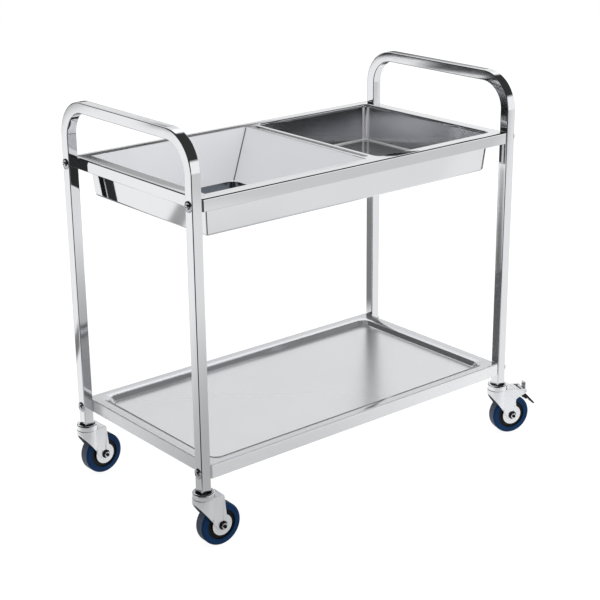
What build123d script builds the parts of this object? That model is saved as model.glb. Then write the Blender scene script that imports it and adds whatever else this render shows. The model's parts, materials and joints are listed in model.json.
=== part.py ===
from build123d import *
import math
import os

os.makedirs("parts", exist_ok=True)

# Millimetres, +Z up, +X to the right of the cart, -Y towards its front.

# Overall sizes; heights are stacked up from the floor.
overall_length = 950.0
overall_width = 500.0
leg_stub_length = 31.0
shelf_to_tray = 595.0
handle_rise = 138.0

# End frames: one square tube bent into an inverted U.
tube_size = 25.0
tube_wall = 1.2
tube_corner_radius = 2.5
handle_bend_radius = 75.0

# Pressed sheet shared by the tray and the shelf.
sheet = 1.0
skirt_corner_radius = 6.0
skirt_edge_radius = 4.0
hem_width = 10.0

# Tray top.
tray_skirt = 28.0
tray_rim = 30.0
tray_depth = 94.0
basin_length = 360.0
divider_width = 35.0
groove_width = 14.0
groove_depth = 5.0
groove_end_margin = 16.0
groove_from_funnel = 8.0

# Waste funnel.
funnel_flange = 2.0
neck_length = 190.0
neck_width = 210.0
neck_corner_radius = 22.0
neck_drop = 15.0

# Dish basin.
basin_corner_radius = 14.0
basin_floor_radius = 5.0
basin_lip = 8.0
basin_lip_radius = 4.0
wall_draft = 8.0

# Tray casing; its top edge stops short of the bend in the basin's lip.
casing_gap = 0.4
casing_top_gap = 0.5
casing_funnel_corner = 6.0
casing_floor_radius = 5.0

# Lower shelf.
shelf_skirt = 32.0
shelf_rim = 20.0
shelf_drop = 15.0
shelf_slope_run = 18.0
shelf_corner_radius = 24.0
shelf_bead_radius = 6.0
rib_width = 60.0
rib_height = 11.0
rib_flange = 12.0
rib_end_margin = 90.0

# Frame fasteners, M6.
bolt_radius = 3.0
bolt_hole_clearance = 0.25
bolt_head_radius = 6.0
bolt_head_height = 3.3
bolt_head_round = 2.0
bolt_socket_width = 4.0
bolt_socket_depth = 2.0
bolt_tail = 2.0
washer_radius = 12.4
washer_edge = 1.0
washer_dome = 2.6
washer_dome_radius = 9.0
nut_width = 10.0
nut_height = 5.0

# Casters.
wheel_diameter = 100.0
wheel_width = 30.0
caster_trail = 35.0
crown_clearance = 18.5
crown_thickness = 3.0
swivel_gap = 0.5
cap_height = 12.0
cap_diameter = 50.0
cap_wall = 2.5
cap_roof = 3.0
cap_edge_radius = 3.0
stem_radius = 6.0
stem_length = 30.0
kingpin_radius = 6.0
rivet_radius = 10.0
rivet_height = 3.0
ball_radius = 3.0
ball_circle_radius = 16.0
ball_count = 14
race_width = 8.0
insert_head = 3.0

# Fork.
fork_sheet = 2.5
cheek_gap = 35.0
drum_radius = 24.0
drum_setback = 2.0
nose_height = 10.0
cheek_back = 6.0
fork_end_radius = 13.0

# Axle, M8.
axle_radius = 4.0
axle_nut_width = 13.0
axle_nut_height = 6.5
axle_head_height = 5.3
axle_tail = 2.3
axle_socket_width = 5.0
axle_washer_radius = 10.5
axle_washer = 1.2
guard_radius = 25.0
guard_thickness = 1.8

# Wheel.
tyre_bore_radius = 35.5
tyre_edge_radius = 5.0
core_recess = 3.0
bearing_radius = 10.0

# Brake on the right-hand casters.
brake_reach = 41.0
brake_ear_drop = 6.0
brake_ear_depth = 9.5
brake_web_depth = 33.0
brake_arch_radius = 9.0
brake_tip_radius = 3.0
brake_pin_reach = 35.0
brake_pin_drop = 11.5
brake_pin_radius = 2.5
brake_hub_radius = 5.0
brake_hub_side_gap = 1.0
brake_tab_width = 18.0
brake_tab_thickness = 2.5
brake_tab_offset = 6.5
brake_tab_height = 19.0
brake_arm_thickness = 3.0
brake_bend_reach = 7.0
brake_bend_drop = 13.0
pedal_width = 20.0
pedal_thickness = 4.0
pedal_reach = 26.0
pedal_drop = 29.0
shoe_angle = 45.0
shoe_length = 13.0
shoe_thickness = 9.0
shoe_gap = 0.4
brake_throw = 10.0

# Clearances: fixed round fits, running fits, square plugs.
fit_clearance = 0.05
running_clearance = 0.05
ball_clearance = 0.25
plug_clearance = 0.1

# How far each caster has swung about its own swivel.
front_left_swing = -3.0
rear_left_swing = 2.5
front_right_swing = -18.0
rear_right_swing = 0.0

# Heights and places that follow from the sizes above.
wheel_radius = wheel_diameter / 2
crown_bottom = wheel_diameter + crown_clearance
crown_top = crown_bottom + crown_thickness
cap_bottom = crown_top + swivel_gap
caster_height = cap_bottom + cap_height
shelf_height = caster_height + leg_stub_length + shelf_skirt
tray_height = shelf_height + shelf_to_tray
handle_height = tray_height + handle_rise
leg_x = (overall_length - tube_size) / 2
leg_y = (overall_width - tube_size) / 2
tray_length = overall_length - 2 * tube_size
window_width = overall_width - 2 * tray_rim
funnel_length = tray_length - 2 * tray_rim - divider_width - basin_length
funnel_x = -tray_length / 2 + tray_rim + funnel_length / 2
basin_x = tray_length / 2 - tray_rim - basin_length / 2
cheek_half = cheek_gap / 2
fork_half = cheek_half + fork_sheet
axle_at = Pos(caster_trail, 0, wheel_radius)
brake_pin_x = caster_trail + brake_pin_reach
brake_pin_z = crown_top - brake_pin_drop


def rounded_plate(length, width, corner, left_corner):
    """Rectangle whose left and right corners may differ in radius."""
    plate = Rectangle(length, width)
    right = [vertex for vertex in plate.vertices() if vertex.X > 0]
    plate = fillet(right, corner)
    left = [vertex for vertex in plate.vertices() if vertex.X < corner - length / 2]
    return fillet(left, left_corner)


def shaped_block(
    length, width, top, bottom, corner, inset=0.0, top_radius=0.0, bottom_radius=0.0, left_corner=None
):
    """Rounded block from top down to bottom, drawn in by inset at the bottom."""
    left_corner = left_corner or corner
    upper = Pos(0, 0, top) * rounded_plate(length, width, corner, left_corner)
    lower = Pos(0, 0, bottom) * rounded_plate(length - 2 * inset, width - 2 * inset, corner, left_corner)
    block = loft([upper.face(), lower.face()], ruled=True)
    if top_radius > 0:
        block = fillet(block.faces().sort_by(Axis.Z)[-1].edges(), top_radius)
    if bottom_radius > 0:
        block = fillet(block.faces().sort_by(Axis.Z)[0].edges(), bottom_radius)
    return block


def edges_at(solid, height, inside_length, inside_width):
    """Edges at one height that lie inside a centred rectangle."""
    found = []
    for edge in solid.edges():
        box = edge.bounding_box()
        level = abs(box.min.Z - height) < 1e-3 and abs(box.max.Z - height) < 1e-3
        inside = max(abs(box.min.X), abs(box.max.X)) < inside_length / 2
        inside = inside and max(abs(box.min.Y), abs(box.max.Y)) < inside_width / 2
        if level and inside:
            found.append(edge)
    return found


def hexagon(width, thickness):
    """Hexagonal prism standing on the XY plane."""
    return extrude(RegularPolygon(width / math.sqrt(3), 6), thickness)


def end_frame():
    """Bent square tube with a bolt hole through each leg at both skirts."""
    top = handle_height - tube_size / 2
    path = FilletPolyline(
        (0, -leg_y, caster_height),
        (0, -leg_y, top),
        (0, leg_y, top),
        (0, leg_y, caster_height),
        radius=handle_bend_radius,
    )
    bore = tube_size - 2 * tube_wall
    section = RectangleRounded(tube_size, tube_size, tube_corner_radius)
    section -= RectangleRounded(bore, bore, tube_corner_radius - tube_wall)
    frame = sweep(Pos(0, -leg_y, caster_height) * section, path=path)
    for y in (-leg_y, leg_y):
        for z in bolt_heights():
            hole = Cylinder(bolt_radius + bolt_hole_clearance, 2 * tube_size)
            frame -= Pos(0, y, z) * Rot(0, 90, 0) * hole
    return frame


def bolt_heights():
    """Bolts sit at the middle of the shelf's skirt and of the tray's skirt."""
    return (shelf_height - shelf_skirt / 2, tray_height - tray_skirt / 2)


def skirt_bolt_holes(skirt):
    """Four holes through the end skirts, in line with the legs."""
    holes = []
    for x in (-tray_length / 2, tray_length / 2):
        for y in (-leg_y, leg_y):
            hole = Cylinder(bolt_radius + bolt_hole_clearance, 2 * hem_width)
            holes.append(Pos(x, y, -skirt / 2) * Rot(0, 90, 0) * hole)
    return holes


def skirt_outside(skirt):
    """Outer form of a pressed sheet with a turned-down skirt, top face at zero."""
    return shaped_block(
        tray_length, overall_width, 0, -skirt, skirt_corner_radius, top_radius=skirt_edge_radius
    )


def skirt_inside(skirt):
    """Hollow under a pressed sheet, down to the hem."""
    return shaped_block(
        tray_length - 2 * sheet,
        overall_width - 2 * sheet,
        -sheet,
        sheet - skirt,
        skirt_corner_radius - sheet,
        top_radius=skirt_edge_radius - sheet,
    )


def hem_mouth(skirt):
    """Opening between the hems at the foot of a skirt."""
    return shaped_block(
        tray_length - 2 * hem_width,
        overall_width - 2 * hem_width,
        2 * sheet - skirt,
        -skirt - sheet,
        skirt_corner_radius,
    )


def tray_top():
    """Rim, skirt, two openings, the basin's drawn lip and the groove in the divider."""
    lip_well = shaped_block(basin_length, window_width, sheet, -basin_lip, basin_corner_radius)
    lip_back = shaped_block(
        basin_length + 2 * sheet,
        window_width + 2 * sheet,
        sheet,
        -basin_lip,
        basin_corner_radius + sheet,
    )
    groove_length = window_width - 2 * groove_end_margin
    groove_x = funnel_x + funnel_length / 2 + groove_from_funnel + groove_width / 2
    groove = extrude(Rot(0, 0, 90) * SlotOverall(groove_length, groove_width), -groove_depth)
    groove_back = extrude(
        Rot(0, 0, 90) * SlotOverall(groove_length + 2 * sheet, groove_width + 2 * sheet),
        -groove_depth - sheet,
    )
    funnel_window = Pos(funnel_x, 0, 0) * Box(funnel_length, window_width, 4 * sheet)
    inside_size = tray_length - 2 * hem_width
    inside_width = overall_width - 2 * hem_width

    solid = skirt_outside(tray_skirt) - Pos(basin_x, 0, 0) * lip_well
    solid = fillet(edges_at(solid, 0, inside_size, inside_width), basin_lip_radius)
    hollow = skirt_inside(tray_skirt) - Pos(basin_x, 0, 0) * lip_back
    hollow = fillet(edges_at(hollow, -sheet, inside_size, inside_width), basin_lip_radius - sheet)
    hollow -= Pos(groove_x, 0, 0) * groove_back
    solid = solid - hollow - hem_mouth(tray_skirt) - funnel_window
    solid -= Pos(groove_x, 0, 0) * groove
    for hole in skirt_bolt_holes(tray_skirt):
        solid -= hole
    return Pos(0, 0, tray_height) * solid


def dish_basin():
    """Drafted tub that hangs from the tray's lip and stands on the casing's floor."""
    floor = sheet - tray_depth
    well = shaped_block(
        basin_length,
        window_width,
        -basin_lip,
        floor + sheet,
        basin_corner_radius,
        inset=wall_draft,
        bottom_radius=basin_floor_radius,
    )
    shell = shaped_block(
        basin_length + 2 * sheet,
        window_width + 2 * sheet,
        -basin_lip,
        floor,
        basin_corner_radius + sheet,
        inset=wall_draft,
        bottom_radius=basin_floor_radius + sheet,
    )
    return Pos(basin_x, 0, tray_height) * (shell - well)


def waste_funnel():
    """Four sloping plates with a flange under the tray and a chute through the casing's floor."""
    depth = tray_depth - 2 * sheet
    slope = (funnel_length - neck_length) / 2 / depth
    plate = sheet * math.sqrt(1 + slope**2) / slope
    floor = sheet - tray_depth + plate
    mouth = Pos(0, 0, -sheet) * Rectangle(funnel_length, window_width)
    outlet = Pos(0, 0, floor) * Rectangle(neck_length, neck_width)
    pyramid = loft([mouth.face(), outlet.face()], ruled=True)
    flange = shaped_block(
        funnel_length + 2 * funnel_flange,
        window_width + 2 * funnel_flange,
        -sheet,
        -sheet - plate,
        casing_funnel_corner - casing_gap,
    )
    neck_end = -tray_depth - neck_drop
    neck = shaped_block(
        neck_length + 2 * sheet, neck_width + 2 * sheet, floor, neck_end, neck_corner_radius + sheet
    )
    bore = shaped_block(neck_length, neck_width, floor + sheet, neck_end - sheet, neck_corner_radius)
    solid = Pos(0, 0, -plate) * pyramid + flange + neck - pyramid - bore
    return Pos(funnel_x, 0, tray_height) * solid


def tray_casing():
    """Drafted box welded under the rim; its floor has a hole for the chute."""
    length = tray_length - 2 * tray_rim + 2 * (funnel_flange + casing_gap)
    width = window_width + 2 * (funnel_flange + casing_gap)
    corner = basin_corner_radius + funnel_flange + casing_gap
    top = -sheet - casing_top_gap
    shell = shaped_block(
        length + 2 * sheet,
        width + 2 * sheet,
        top,
        -tray_depth,
        corner + sheet,
        inset=wall_draft,
        bottom_radius=casing_floor_radius + sheet,
        left_corner=casing_funnel_corner + sheet,
    )
    well = shaped_block(
        length,
        width,
        top,
        sheet - tray_depth,
        corner,
        inset=wall_draft,
        bottom_radius=casing_floor_radius,
        left_corner=casing_funnel_corner,
    )
    hole_gap = sheet + plug_clearance
    hole = shaped_block(
        neck_length + 2 * hole_gap,
        neck_width + 2 * hole_gap,
        4 * sheet - tray_depth,
        -tray_depth - sheet,
        neck_corner_radius + hole_gap,
    )
    return Pos(0, 0, tray_height) * (shell - well - Pos(funnel_x, 0, 0) * hole)


def lower_shelf():
    """Pressed sheet with a skirt, a flat rim and a recessed deck."""
    length = tray_length - 2 * shelf_rim
    width = overall_width - 2 * shelf_rim
    steep = math.hypot(shelf_slope_run, shelf_drop)
    grow = sheet * steep / shelf_drop
    recess = shaped_block(
        length,
        width,
        0,
        -shelf_drop,
        shelf_corner_radius,
        inset=shelf_slope_run,
        bottom_radius=shelf_bead_radius,
    )
    back_run = shelf_slope_run * (shelf_drop + sheet) / shelf_drop
    recess_back = shaped_block(
        length + 2 * grow,
        width + 2 * grow,
        0,
        -shelf_drop - sheet,
        shelf_corner_radius + grow,
        inset=back_run,
        bottom_radius=shelf_bead_radius + sheet,
    )
    inside_size = tray_length - hem_width
    inside_width = overall_width - hem_width
    solid = skirt_outside(shelf_skirt) - recess
    solid = fillet(edges_at(solid, 0, inside_size, inside_width), shelf_bead_radius)
    hollow = skirt_inside(shelf_skirt) - recess_back
    hollow = fillet(edges_at(hollow, -sheet, inside_size, inside_width), shelf_bead_radius - sheet)
    solid = solid - hollow - hem_mouth(shelf_skirt)
    for hole in skirt_bolt_holes(shelf_skirt):
        solid -= hole
    return Pos(0, 0, shelf_height) * solid


def shelf_rib():
    """Hat-shaped stiffener welded along the underside of the deck."""
    length = tray_length - 2 * rib_end_margin
    hat = Pos(0, 0, -rib_height / 2) * Box(length, rib_width, rib_height)
    tunnel_width = rib_width - 2 * rib_flange - 2 * sheet
    tunnel = Pos(0, 0, (sheet - rib_height) / 2) * Box(2 * length, tunnel_width, rib_height - sheet)
    hat -= tunnel
    side_y = (rib_width - rib_flange) / 2
    for y in (-side_y, side_y):
        hat -= Pos(0, y, -rib_height / 2 - sheet) * Box(2 * length, rib_flange, rib_height)
    return Pos(0, 0, shelf_height - shelf_drop - sheet) * hat


def frame_bolt():
    """Button-head bolt along +X, outer face of the leg at zero."""
    shank_end = tube_size + sheet + nut_height + bolt_tail
    shank = Cylinder(bolt_radius, washer_dome + shank_end)
    head = Pos(0, 0, washer_dome + bolt_head_height / 2) * Cylinder(bolt_head_radius, bolt_head_height)
    head = fillet(head.faces().sort_by(Axis.Z)[-1].edges(), bolt_head_round)
    socket_floor = washer_dome + bolt_head_height - bolt_socket_depth
    bolt = Pos(0, 0, (washer_dome - shank_end) / 2) * shank + head
    bolt -= Pos(0, 0, socket_floor) * hexagon(bolt_socket_width, bolt_head_height)
    return Rot(0, 90, 0) * bolt


def frame_washer():
    """Domed washer under the bolt's head."""
    hole = bolt_radius + bolt_hole_clearance
    outline = Polyline(
        (hole, 0),
        (washer_radius, 0),
        (washer_radius, washer_edge),
        (washer_dome_radius, washer_dome),
        (hole, washer_dome),
        close=True,
    )
    ring = revolve(Plane.XZ * make_face(outline), Axis.Z)
    return Rot(0, 90, 0) * ring


def frame_nut():
    """Nut behind the skirt."""
    nut = hexagon(nut_width, nut_height) - Cylinder(bolt_radius + fit_clearance, 4 * nut_height)
    return Rot(0, 90, 0) * Pos(0, 0, -tube_size - sheet - nut_height) * nut


def at_legs(piece):
    """Eight copies of a fastener, one per leg and skirt."""
    copies = []
    for side in (0, 180):
        for y in (-leg_y, leg_y):
            for z in bolt_heights():
                outward = Pos(0, y, z) * Rot(0, 0, side) * Pos(overall_length / 2, 0, 0)
                copies.append(outward * piece)
    return Compound(copies)


def leg_inserts():
    """Square sockets in the ends of the legs that take the caster stems."""
    size = tube_size - 2 * tube_wall - 2 * plug_clearance
    height = stem_length + insert_head
    plug = extrude(RectangleRounded(size, size, tube_corner_radius - tube_wall), height)
    plug -= Pos(0, 0, stem_length / 2) * Cylinder(stem_radius + fit_clearance, stem_length)
    plugs = []
    for x in (-leg_x, leg_x):
        for y in (-leg_y, leg_y):
            plugs.append(Pos(x, y, caster_height) * plug)
    return Compound(plugs)


def swivel_head():
    """Stem, cap and riveted kingpin of a caster, fixed to the leg."""
    cap_radius = cap_diameter / 2
    cavity_radius = cap_radius - cap_wall
    cavity_top = caster_height - cap_roof
    rivet_top = crown_bottom - swivel_gap
    outline = Polyline(
        (0, rivet_top - rivet_height),
        (rivet_radius, rivet_top - rivet_height),
        (rivet_radius, rivet_top),
        (kingpin_radius, rivet_top),
        (kingpin_radius, cavity_top),
        (cavity_radius, cavity_top),
        (cavity_radius, cap_bottom),
        (cap_radius, cap_bottom),
        (cap_radius, caster_height),
        (stem_radius, caster_height),
        (stem_radius, caster_height + stem_length - fit_clearance),
        (0, caster_height + stem_length - fit_clearance),
        close=True,
    )
    head = revolve(Plane.XZ * make_face(outline), Axis.Z)
    roof_edges = edges_at(head, caster_height, 2 * cap_diameter, 2 * cap_diameter)
    rim = [edge for edge in roof_edges if edge.length > 4 * cap_radius]
    return fillet(rim, cap_edge_radius)


def ball_height():
    """Centre of the balls, just under the cap's roof."""
    return caster_height - cap_roof - ball_clearance - ball_radius


def ball_ring():
    """Ring of separate balls between the cap and the fork's race."""
    balls = []
    for index in range(ball_count):
        turn = Rot(0, 0, index * 360 / ball_count)
        balls.append(turn * Pos(ball_circle_radius, 0, ball_height()) * Sphere(ball_radius))
    return Compound(balls)


def fork(braked):
    """Pressed fork: round crown, two cheeks, and two ears for the pedal when braked."""
    reach = brake_reach if braked else fork_end_radius
    tail = caster_trail + reach
    drum = Pos(-drum_setback, 0)
    plan = drum * Circle(drum_radius) + Pos(tail / 2, 0) * Rectangle(tail, 2 * fork_half)
    inner_plan = drum * Circle(drum_radius - fork_sheet) + Pos(tail, 0) * Rectangle(2 * tail, cheek_gap)
    front = -drum_radius - drum_setback
    back = caster_trail + cheek_back
    crown = Polygon((front, crown_top), (front, crown_top - nose_height), (back, crown_top), align=None)
    end = Pos(caster_trail, wheel_radius) * Circle(fork_end_radius)
    side = make_hull(crown.edges() + end.edges())
    if braked:
        ears = Polygon(
            (caster_trail, crown_top - brake_web_depth),
            (tail, crown_top - brake_ear_drop - brake_ear_depth),
            (tail, crown_top - brake_ear_drop),
            (caster_trail, crown_top),
            align=None,
        )
        side = side + ears
        inner_corner = (back, crown_top - brake_web_depth)
        near = sorted(side.vertices(), key=lambda v: math.dist((v.X, v.Y), inner_corner))
        side = fillet(near[0], brake_arch_radius)
        tips = [v for v in side.vertices() if abs(v.X - tail) < 1e-3]
        side = fillet(tips, brake_tip_radius)
    solid = extrude(plan, crown_top) & extrude(Plane.XZ * side, 2 * fork_half + drum_radius, both=True)
    solid -= extrude(inner_plan, crown_bottom)
    race_top = ball_height() - ball_radius - ball_clearance
    race_height = race_top - crown_bottom
    race = Cylinder(ball_circle_radius + race_width / 2, race_height)
    race -= Cylinder(ball_circle_radius - race_width / 2, 2 * race_height)
    solid += Pos(0, 0, crown_bottom + race_height / 2) * race
    solid -= Pos(0, 0, crown_top) * Cylinder(kingpin_radius + running_clearance, 4 * crown_thickness)
    solid -= axle_at * Rot(90, 0, 0) * Cylinder(axle_radius + fit_clearance, 4 * fork_half)
    if braked:
        pin_hole = Cylinder(brake_pin_radius + fit_clearance, 4 * fork_half)
        solid -= Pos(brake_pin_x, 0, brake_pin_z) * Rot(90, 0, 0) * pin_hole
    return solid


def thread_guards():
    """Disc against the inside of each cheek."""
    discs = []
    for side in (-1, 1):
        disc = Cylinder(guard_radius, guard_thickness)
        disc -= Cylinder(axle_radius + fit_clearance, 4 * guard_thickness)
        y = side * (cheek_half - guard_thickness / 2)
        discs.append(axle_at * Pos(0, y, 0) * Rot(90, 0, 0) * disc)
    return Compound(discs)


def axle_washers():
    """Washer under the axle's head and under its nut."""
    rings = []
    for side in (-1, 1):
        ring = Cylinder(axle_washer_radius, axle_washer)
        ring -= Cylinder(axle_radius + fit_clearance, 4 * axle_washer)
        y = side * (fork_half + axle_washer / 2)
        rings.append(axle_at * Pos(0, y, 0) * Rot(90, 0, 0) * ring)
    return Compound(rings)


def axle():
    """Axle bolt: hexagon head at the back, socket in the threaded end."""
    half = fork_half + axle_washer
    tail = half + axle_nut_height + axle_tail
    shank = Pos(0, 0, (tail - half) / 2) * Cylinder(axle_radius, tail + half)
    head = Pos(0, 0, -half - axle_head_height) * hexagon(axle_nut_width, axle_head_height)
    socket = Pos(0, 0, tail - axle_tail) * hexagon(axle_socket_width, 2 * axle_tail)
    return axle_at * Rot(90, 0, 0) * (shank + head - socket)


def axle_nut():
    """Nut on the front end of the axle."""
    nut = hexagon(axle_nut_width, axle_nut_height)
    nut -= Cylinder(axle_radius + fit_clearance, 4 * axle_nut_height)
    return axle_at * Rot(90, 0, 0) * Pos(0, 0, fork_half + axle_washer) * nut


def tyre():
    """Rubber ring with rounded shoulders."""
    ring = Cylinder(wheel_radius, wheel_width) - Cylinder(tyre_bore_radius, 2 * wheel_width)
    between = math.pi * (tyre_bore_radius + wheel_radius)
    shoulders = [edge for edge in ring.edges().filter_by(GeomType.CIRCLE) if edge.length > between]
    ring = fillet(shoulders, tyre_edge_radius)
    return axle_at * Rot(90, 0, 0) * ring


def wheel_core():
    """Plastic centre of the wheel with a recessed face."""
    core = Cylinder(tyre_bore_radius - fit_clearance, wheel_width - 2 * core_recess)
    core += Cylinder((bearing_radius + guard_radius) / 2, wheel_width)
    core -= Cylinder(bearing_radius + fit_clearance, 2 * wheel_width)
    return axle_at * Rot(90, 0, 0) * core


def wheel_bearing():
    """Plain bearing between the wheel's core and the axle."""
    bush = Cylinder(bearing_radius, wheel_width)
    bush -= Cylinder(axle_radius + running_clearance, 2 * wheel_width)
    return axle_at * Rot(90, 0, 0) * bush


def across(sketch, width):
    """Side-view sketch drawn in X and Z, widened equally to both sides."""
    return extrude(Plane.XZ * sketch, width / 2, both=True)


def brake_lever():
    """Steel hub on the pin, with an upright tab and an arm to the pedal."""
    pin = (brake_pin_x, brake_pin_z)
    bend = (brake_pin_x + brake_bend_reach, brake_pin_z - brake_bend_drop)
    tab_x = brake_pin_x + brake_tab_offset
    tab_top = brake_pin_z + brake_tab_height
    hub = Pos(*pin) * Circle(brake_hub_radius)
    tab = trace(Polyline(pin, (tab_x, brake_pin_z), (tab_x, tab_top)), brake_tab_thickness)
    arm = trace(Line(pin, bend), brake_arm_thickness)
    hub_length = cheek_gap - 2 * brake_hub_side_gap
    lever = across(hub, hub_length) + across(tab, brake_tab_width) + across(arm, brake_tab_width)
    hole = Cylinder(brake_pin_radius + running_clearance, 4 * cheek_gap)
    return lever - Pos(brake_pin_x, 0, brake_pin_z) * Rot(90, 0, 0) * hole


def brake_pedal():
    """Black foot plate with the shoe that meets the tyre when pressed."""
    bend = (brake_pin_x + brake_bend_reach, brake_pin_z - brake_bend_drop)
    tip = (bend[0] + pedal_reach, bend[1] - pedal_drop)
    plate = across(trace(Line(bend, tip), pedal_thickness), pedal_width)
    shoe = Pos(wheel_radius + shoe_gap + shoe_thickness / 2, 0, 0) * Box(
        shoe_thickness, pedal_width, shoe_length
    )
    shoe = axle_at * Rot(0, -shoe_angle, 0) * shoe
    pin_at = Pos(brake_pin_x, 0, brake_pin_z)
    shoe = pin_at * Rot(0, -brake_throw, 0) * pin_at.inverse() * shoe
    return plate + shoe - brake_lever()


def brake_pin():
    """Pivot pin through both ears."""
    pin = Cylinder(brake_pin_radius, 2 * fork_half)
    return Pos(brake_pin_x, 0, brake_pin_z) * Rot(90, 0, 0) * pin


def caster_pieces(braked):
    """Every piece of one caster, swivel axis at the origin and tyre on the floor."""
    pieces = {
        "swivel_head": swivel_head(),
        "ball_ring": ball_ring(),
        "fork": fork(braked),
        "thread_guards": thread_guards(),
        "axle": axle(),
        "axle_washers": axle_washers(),
        "axle_nut": axle_nut(),
        "tyre": tyre(),
        "wheel_core": wheel_core(),
        "wheel_bearing": wheel_bearing(),
    }
    if braked:
        pieces["brake_lever"] = brake_lever()
        pieces["brake_pedal"] = brake_pedal()
        pieces["brake_pin"] = brake_pin()
    return pieces


parts = {
    "left_end_frame": Pos(-leg_x, 0, 0) * end_frame(),
    "right_end_frame": Pos(leg_x, 0, 0) * end_frame(),
    "tray_top": tray_top(),
    "dish_basin": dish_basin(),
    "waste_funnel": waste_funnel(),
    "tray_casing": tray_casing(),
    "lower_shelf": lower_shelf(),
    "shelf_rib": shelf_rib(),
    "frame_bolts": at_legs(frame_bolt()),
    "frame_washers": at_legs(frame_washer()),
    "frame_nuts": at_legs(frame_nut()),
    "leg_inserts": leg_inserts(),
}

plain_caster = caster_pieces(braked=False)
braked_caster = caster_pieces(braked=True)
casters = {
    "front_left": Pos(-leg_x, -leg_y, 0) * Rot(0, 0, front_left_swing),
    "rear_left": Pos(-leg_x, leg_y, 0) * Rot(0, 0, rear_left_swing),
    "front_right": Pos(leg_x, -leg_y, 0) * Rot(0, 0, front_right_swing),
    "rear_right": Pos(leg_x, leg_y, 0) * Rot(0, 0, rear_right_swing),
}
for corner, place in casters.items():
    pieces = braked_caster if "right" in corner else plain_caster
    for piece_name, piece in pieces.items():
        parts[corner + "_" + piece_name] = place * piece

# The origin is the middle of the bounding box, on the floor.
boxes = [solid.bounding_box() for solid in parts.values()]
centre_x = (min(box.min.X for box in boxes) + max(box.max.X for box in boxes)) / 2
centre_y = (min(box.min.Y for box in boxes) + max(box.max.Y for box in boxes)) / 2
to_centre = Pos(-centre_x, -centre_y, 0)

for node, solid in parts.items():
    export_step(to_centre * solid, "parts/" + node + ".step")
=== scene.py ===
# %% [markdown]
# # A stainless steel cart for collecting dishes
#
# The cart has two levels. The top one carries a waste funnel and a deep dish basin, the lower one is a plain
# pressed shelf. Two bent tubes make the legs and the handles, and it rolls on four swivel casters.
#
# The exact solids come from a CAD model that is loaded first and never changed. Blender adds what the eye needs:
# sheet metal with soft folds, polished tube, moulded wheels, real finishes and a studio for the steel to mirror.

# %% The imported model
import json
import math

import bmesh
import bpy
from mathutils import Matrix, Vector


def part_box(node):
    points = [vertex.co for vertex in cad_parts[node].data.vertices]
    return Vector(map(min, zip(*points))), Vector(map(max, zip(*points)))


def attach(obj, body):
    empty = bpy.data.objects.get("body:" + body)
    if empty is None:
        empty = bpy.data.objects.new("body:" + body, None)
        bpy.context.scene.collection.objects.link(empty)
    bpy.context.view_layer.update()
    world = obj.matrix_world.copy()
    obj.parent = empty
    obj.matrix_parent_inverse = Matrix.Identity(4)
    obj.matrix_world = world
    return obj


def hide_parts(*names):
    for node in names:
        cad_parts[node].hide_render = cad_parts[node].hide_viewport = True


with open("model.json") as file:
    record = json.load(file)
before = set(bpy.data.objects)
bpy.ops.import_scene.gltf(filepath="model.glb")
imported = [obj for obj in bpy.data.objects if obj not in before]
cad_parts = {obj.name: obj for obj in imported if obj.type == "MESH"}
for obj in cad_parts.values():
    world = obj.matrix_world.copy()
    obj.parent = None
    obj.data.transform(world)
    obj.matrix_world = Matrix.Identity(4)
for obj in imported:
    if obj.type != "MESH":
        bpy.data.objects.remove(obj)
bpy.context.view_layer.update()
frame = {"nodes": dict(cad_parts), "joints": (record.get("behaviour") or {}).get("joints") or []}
nodes = frame["nodes"]

# %% [markdown]
# ## A place for everything
#
# The CAD origin is the middle of the whole bounding box, and the swung casters pull that off the cart's own middle.
# A matrix that moves to the middle between the end frames lets every size below be typed as on a drawing,
# in millimetres from the cart's centre line and from the floor.

# %% The cart's own origin
left_low, left_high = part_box("left_end_frame")
_, right_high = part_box("right_end_frame")
cart_origin = Vector(((left_low.x + right_high.x) / 2, (left_low.y + left_high.y) / 2, 0))
cart = Matrix.Translation(cart_origin)
print("cart origin:", [round(value, 4) for value in cart_origin])

# %% [markdown]
# ## Camera
#
# The photograph was measured: the cart's long edges give two vanishing points, and with them a focal length and
# three turns. The lens is long, so the picture has little perspective. The camera turns about Z (yaw), tips down
# (pitch) and leans by half a degree (roll), in that order.

# %% The camera
PICTURE, FOCAL = 600, 1470.48
YAW, PITCH, ROLL = -39.393, -19.437, -0.607
STAND = (-2.1210, -2.5941, 1.5876)

camera_data = bpy.data.cameras.new("studio_camera")
camera_data.sensor_width = 36
camera_data.lens = FOCAL * camera_data.sensor_width / PICTURE
camera_data.clip_end = 60
camera = bpy.data.objects.new("studio_camera", camera_data)
bpy.context.scene.collection.objects.link(camera)
camera.matrix_world = (
    cart
    @ Matrix.Translation(STAND)
    @ Matrix.Rotation(math.radians(YAW), 4, "Z")
    @ Matrix.Rotation(math.radians(90 + PITCH), 4, "X")
    @ Matrix.Rotation(math.radians(ROLL), 4, "Z")
)
bpy.context.scene.camera = camera
print("lens:", round(camera_data.lens, 2), "mm")

# %% [markdown]
# ## Nodes and colours
#
# Every finish below is a node tree. One small function adds a node: numbers and colours are set on its sockets, and
# outputs of other nodes are linked to them, so a tree reads from top to bottom like a recipe. Colours are typed as
# sRGB hex values, as a paint chart gives them, and turned into the linear values that the renderer works with.

# %% One function for nodes, one for colours
def add(tree, kind, sockets=None, **settings):
    node = tree.nodes.new("ShaderNode" + kind)
    for name, value in settings.items():
        setattr(node, name, value)
    for name, value in (sockets or {}).items():
        if isinstance(value, bpy.types.NodeSocket):
            tree.links.new(value, node.inputs[name])
        else:
            node.inputs[name].default_value = value
    return node


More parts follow.
